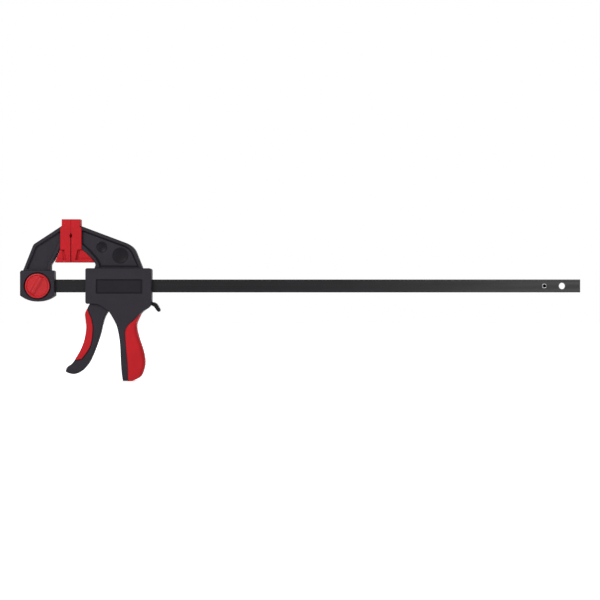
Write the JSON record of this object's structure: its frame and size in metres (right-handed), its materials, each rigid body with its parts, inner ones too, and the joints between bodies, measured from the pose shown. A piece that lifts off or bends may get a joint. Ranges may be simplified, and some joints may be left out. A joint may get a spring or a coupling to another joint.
{
  "type": "quick release bar clamp",
  "caption": "One-handed bar clamp: a fixed and a sliding jaw with soft pads on a flat bar, squeeze trigger, brake release lever and quick-change lock knob.",
  "frame": {"origin": "middle line of the bar, in the plane where the two pads meet", "axes": "+X along the bar, away from the fixed jaw; +Y across the clamp, from the knob side to the screw side; +Z from the bar to the jaws' tips"},
  "size_m": [0.8659, 0.0301, 0.2499],
  "materials": {
    "blackened_steel": "satin black oxide on a drawn flat bar",
    "black_nylon": "fine moulded grain",
    "red_soft": "soft moulded rubber, matte",
    "red_nylon": "satin moulded plastic",
    "bright_steel": "zinc plated",
    "hardened_steel": "hardened, oiled",
    "spring_steel": "drawn wire"
  },
  "bodies": {
    "bar_and_fixed_jaw": {"bar": "blackened_steel", "end_stop_pin": "hardened_steel", "fixed_jaw": "black_nylon", "fixed_jaw_pad": "red_soft"},
    "lock": {"lock_knob": "red_nylon", "lock_pin": "bright_steel", "lock_washer": "bright_steel", "lock_clip": "spring_steel"},
    "slider": {"front_shell": "black_nylon", "rear_shell": "black_nylon", "sliding_jaw_pad": "red_soft", "handle_grip": "red_soft", "body_screws": "bright_steel", "jaw_screws": "bright_steel", "trigger_pivot_pin": "bright_steel", "brake_pivot_pin": "bright_steel", "brake_spring": "spring_steel", "drive_spring": "spring_steel"},
    "trigger": {"trigger_lever": "black_nylon", "trigger_grip": "red_soft"},
    "drive": {"drive_plates": "hardened_steel"},
    "brake": {"brake_plates": "hardened_steel", "release_lever": "black_nylon"}
  },
  "joints": [
    {"name": "knob_turn", "type": "hinge", "parent": "bar_and_fixed_jaw", "child": "lock", "pos_m": [-0.0517, 0, 0], "axis": [0, 1, 0], "range_deg": [0, 90]},
    {"name": "jaw_slide", "type": "slide", "parent": "bar_and_fixed_jaw", "child": "slider", "axis": [1, 0, 0], "range_m": [0, 0.6]},
    {"name": "trigger_squeeze", "type": "hinge", "parent": "slider", "child": "trigger", "pos_m": [0.04, 0, 0.0175], "axis": [0, -1, 0], "range_deg": [0, 18], "stiffness_Nm_per_rad": 1.5, "springref_deg": -14.32},
    {"name": "drive_stroke", "type": "slide", "parent": "slider", "child": "drive", "axis": [1, 0, 0], "range_m": [0, 0.0105], "deforming": ["drive_spring"]},
    {"name": "brake_release", "type": "hinge", "parent": "slider", "child": "brake", "pos_m": [0.112, 0, -0.026], "axis": [0, 1, 0], "range_deg": [0, 8], "stiffness_Nm_per_rad": 0.8, "springref_deg": -14.32, "deforming": ["brake_spring"]}
  ],
  "couplings": [
    {"joint": "drive_stroke", "follows": "trigger_squeeze", "m_per_rad": 0.033}
  ]
}
